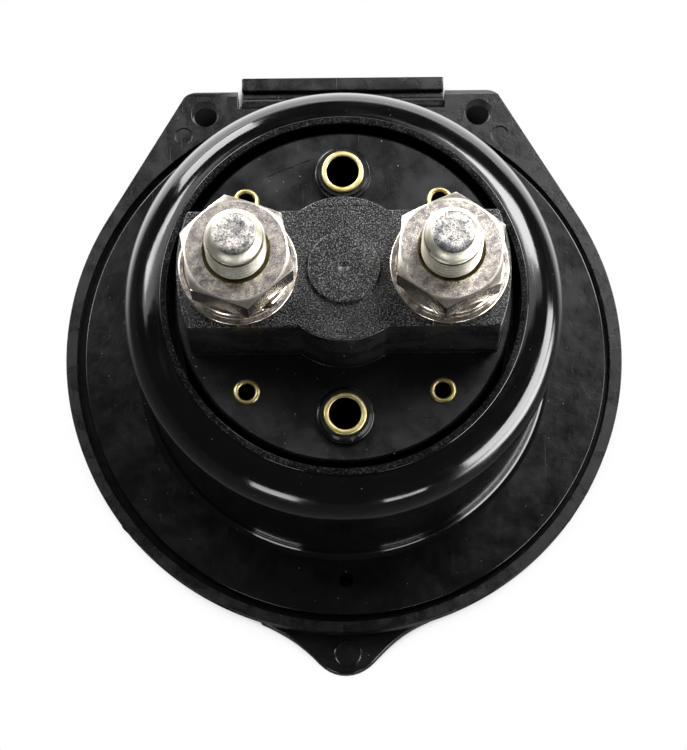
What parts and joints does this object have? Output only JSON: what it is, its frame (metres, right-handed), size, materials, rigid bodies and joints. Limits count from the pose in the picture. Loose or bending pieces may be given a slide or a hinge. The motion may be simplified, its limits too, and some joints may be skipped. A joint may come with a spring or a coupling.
{
  "type": "battery disconnect switch",
  "caption": "Flush-mount battery disconnect switch: round switch in a black bowl with flange, frame with screw ears, hinged lid with finger tab, and threaded terminal studs at the back.",
  "frame": {"origin": "centre of the closed lid's flat front face, on the knob's axis; the part stands on this face with its studs up", "axes": "+Z runs to the back of the panel, along the terminal studs and the knob's axis; +Y is the hinge side, -Y the finger tab; +X runs along the hinge, from the left stud to the right one as seen from behind with the hinge at the top"},
  "size_m": [0.1032, 0.1146, 0.0971],
  "materials": {
    "glossy_black": "moulded, polished",
    "satin_black": "moulded, satin",
    "grained_black": "moulded, fine eroded grain",
    "brass": "bright",
    "plated_copper": "tin plated",
    "plated_steel": "zinc plated",
    "steel": "plain",
    "rubber": "moulded",
    "red_plastic": "moulded",
    "natural_nylon": "moulded",
    "copper": "pressed"
  },
  "bodies": {
    "housing": {"bowl": "glossy_black", "mounting_frame": "satin_black", "hinge_pin": "steel", "switch_base": "grained_black", "switch_cover": "satin_black", "mounting_bushings": "brass", "eyelets": "brass", "terminal_stud_left": "plated_copper", "terminal_stud_right": "plated_copper", "flat_washer_left": "plated_steel", "flat_washer_right": "plated_steel", "lock_washer_left": "plated_steel", "lock_washer_right": "plated_steel", "terminal_nut_left": "plated_steel", "terminal_nut_right": "plated_steel", "neck_gasket": "rubber", "ring_nut": "satin_black", "thrust_washer": "steel"},
    "lid": {"lid": "glossy_black", "lid_seal": "rubber"},
    "rotor": {"spindle": "steel", "spindle_seal": "rubber", "knob": "red_plastic", "knob_screw": "plated_steel"},
    "bridge": {"contact_carrier": "natural_nylon", "contact_bridge": "copper", "return_spring": "steel"}
  },
  "joints": [
    {"name": "lid_hinge", "type": "hinge", "parent": "housing", "child": "lid", "pos_m": [0, 0.05, 0.0031], "axis": [1, 0, 0], "range_deg": [0, 95]},
    {"name": "knob_turn", "type": "hinge", "parent": "housing", "child": "rotor", "pos_m": [0, 0, 0.0203], "axis": [0, 0, 1], "range_deg": [0, 90]},
    {"name": "bridge_slide", "type": "slide", "parent": "housing", "child": "bridge", "axis": [0, 0, 1], "range_m": [0, 0.0024], "deforming": ["return_spring"]}
  ],
  "couplings": [
    {"joint": "bridge_slide", "follows": "knob_turn", "m_per_rad": 0.0015279}
  ]
}
